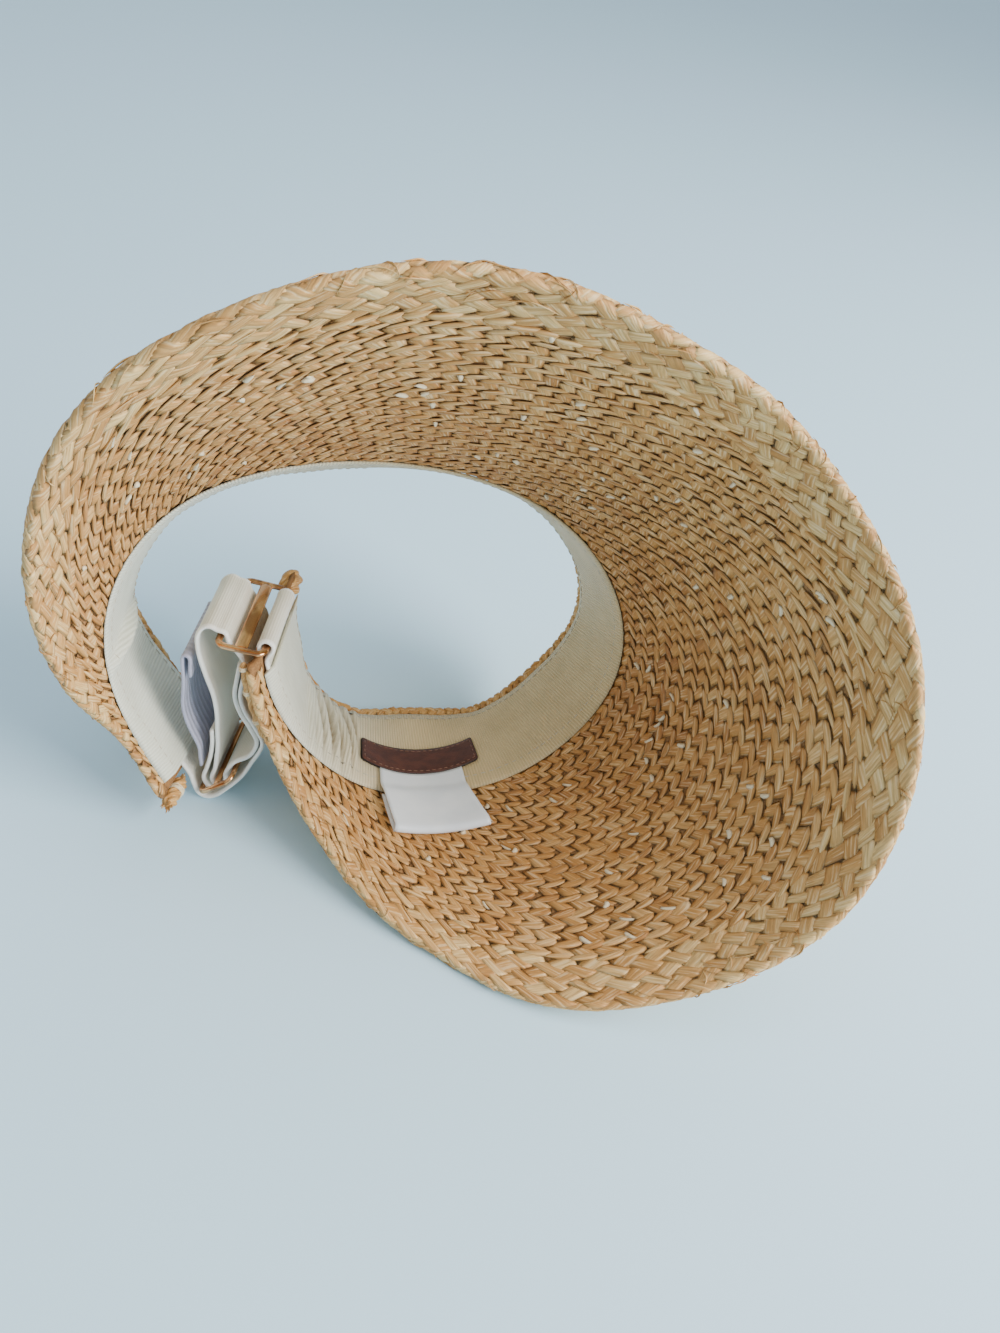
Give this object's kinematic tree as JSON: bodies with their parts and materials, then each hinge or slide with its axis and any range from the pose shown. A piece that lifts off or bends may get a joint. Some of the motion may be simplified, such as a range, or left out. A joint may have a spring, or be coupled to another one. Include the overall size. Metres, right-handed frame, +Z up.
{
  "type": "straw visor",
  "caption": "Open-crowned straw sun visor with a lined band, a curled front brim and a buckled strap at the back, lying on its side.",
  "frame": {"origin": "centre of the bounding box's underside, on the floor that the visor lies on", "axes": "+Z up from the floor; +Y away from the viewer, towards the open crown; +X along the visor's length on the floor, towards the side of the brim that stands up"},
  "size_m": [0.254, 0.1742, 0.2136],
  "materials": {
    "straw": "sewn rows of plaited straw, satin",
    "pale_straw": "wide flat straw plait",
    "grosgrain": "cream ribbed ribbon",
    "webbing": "cream woven strap with a soft sheen",
    "elastic": "lilac-grey ribbed elastic",
    "leather": "brown, bare",
    "satin": "white satin tag, bare",
    "rose_gold": "polished rose-gold plating"
  },
  "bodies": {
    "root": {"brim": "straw", "crown_band": "straw", "end_roll": "straw", "end_tip": "straw", "rim_braid": "pale_straw", "tie_strand": "pale_straw", "sweatband": "grosgrain", "adjuster_strap": "webbing", "tail_strap": "webbing", "end_tab": "webbing", "elastic_strap": "elastic", "leather_label": "leather", "care_tag": "satin", "upper_slider": "rose_gold", "lower_slider": "rose_gold"}
  },
  "joints": []
}
